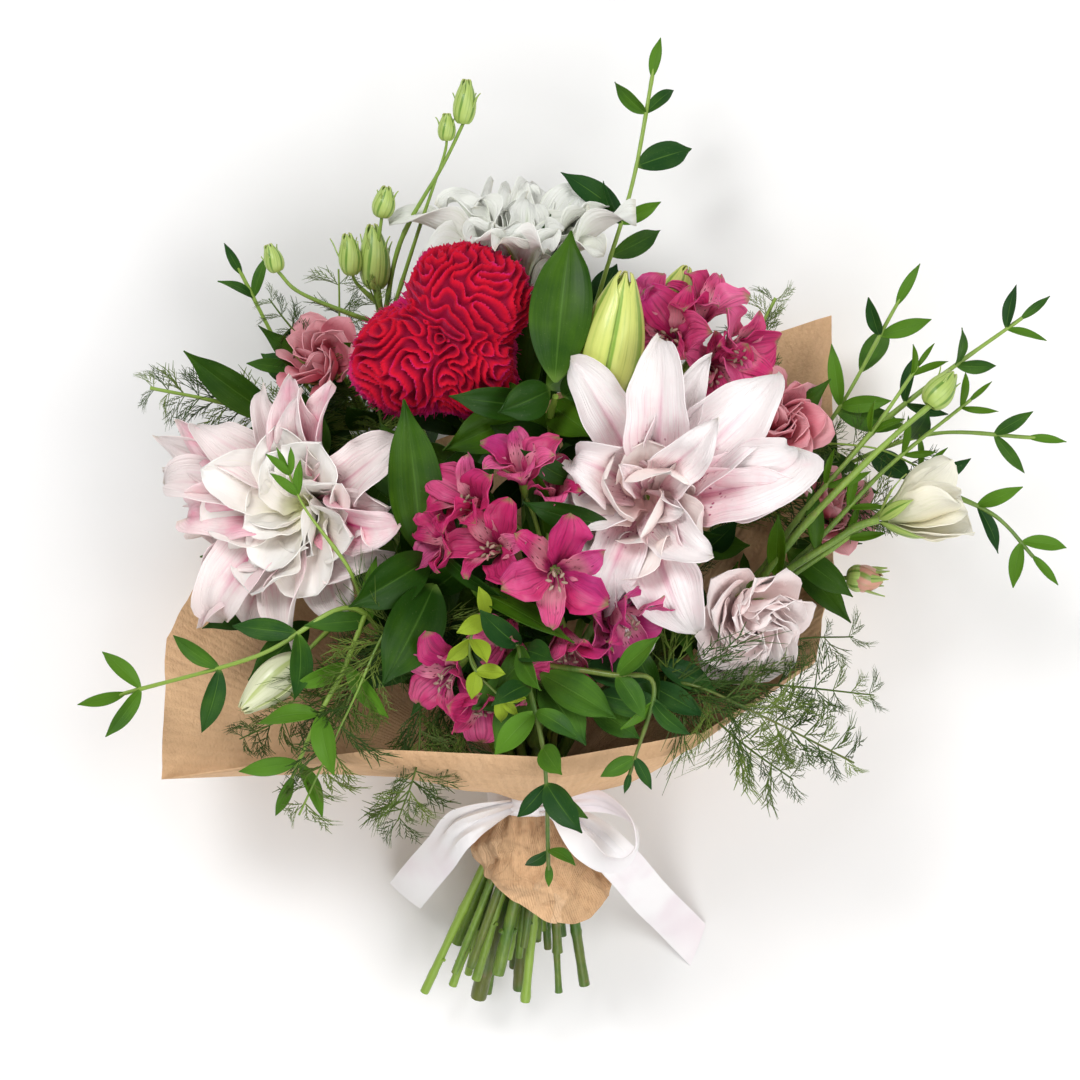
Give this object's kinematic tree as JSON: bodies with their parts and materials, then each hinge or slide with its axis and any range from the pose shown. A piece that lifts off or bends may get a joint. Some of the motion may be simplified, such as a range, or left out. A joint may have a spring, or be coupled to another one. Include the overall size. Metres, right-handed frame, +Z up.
{
  "type": "flower bouquet",
  "caption": "Hand-tied bouquet of lilies, celosia, alstroemeria, roses and greenery in a kraft paper cone with a satin ribbon, lying on its back.",
  "frame": {"origin": "the flat spot on the back of the paper wrap, on the surface that the bouquet lies on, under the flower heads", "axes": "+Z up off the surface, the way the blooms face; +Y from the cut stem ends to the flower tops; +X to the right of the bouquet seen from its front"},
  "size_m": [0.6007, 0.5931, 0.2463],
  "materials": {
    "lily_pink": "soft pink petals, pale at the edges with darker stripes and dots",
    "lily_white": "white petals with green midribs",
    "lily_bud": "yellow-green closed buds",
    "celosia_red": "crimson folded velvet-like head",
    "alstroemeria_pink": "magenta-pink petals",
    "bloom_pink": "pink petals",
    "bloom_pale": "pale pink petals",
    "bloom_cream": "cream petals, greenish at the base",
    "stem_green": "green stems and leaves",
    "fern_green": "fine dark green fern",
    "kraft_paper": "brown kraft paper with fine ribs",
    "satin": "white satin ribbon",
    "binding_tape": "green florist's tape"
  },
  "bodies": {
    "root": {"alstroemeria_centre": "alstroemeria_pink", "alstroemeria_centre_stem": "stem_green", "alstroemeria_low": "alstroemeria_pink", "alstroemeria_low_stem": "stem_green", "alstroemeria_upper": "alstroemeria_pink", "alstroemeria_upper_stem": "stem_green", "celosia_head": "celosia_red", "celosia_stem": "stem_green", "eucalyptus_far_right_stem": "stem_green", "eucalyptus_front_stem": "stem_green", "eucalyptus_left_stem": "stem_green", "eucalyptus_low_left_stem": "stem_green", "eucalyptus_right_stem": "stem_green", "eucalyptus_top_stem": "stem_green", "fern_left_stem": "fern_green", "fern_low_left_stem": "fern_green", "fern_low_right_stem": "fern_green", "fern_right_stem": "fern_green", "lily_bud_big": "lily_bud", "lily_bud_low": "lily_bud", "lily_bud_small": "lily_bud", "lily_left": "lily_pink", "lily_left_stem": "stem_green", "lily_right": "lily_pink", "lily_right_stem": "stem_green", "lily_top": "lily_white", "lily_top_stem": "stem_green", "lisianthus_bud_stem": "stem_green", "lisianthus_cream": "bloom_cream", "lisianthus_cream_stem": "stem_green", "lisianthus_pale": "bloom_pale", "lisianthus_pale_stem": "stem_green", "paper_wrap": "kraft_paper", "ribbon_band": "satin", "ribbon_loop": "satin", "ribbon_tail_left": "satin", "ribbon_tail_right": "satin", "rose_bud": "bloom_pale", "rose_left": "bloom_pink", "rose_left_stem": "stem_green", "rose_low": "bloom_pink", "rose_low_stem": "stem_green", "rose_right": "bloom_pink", "rose_right_stem": "stem_green", "ruscus_left_stem": "stem_green", "ruscus_middle_stem": "stem_green", "ruscus_outer_stem": "stem_green", "stem_binding": "binding_tape"}
  },
  "joints": []
}
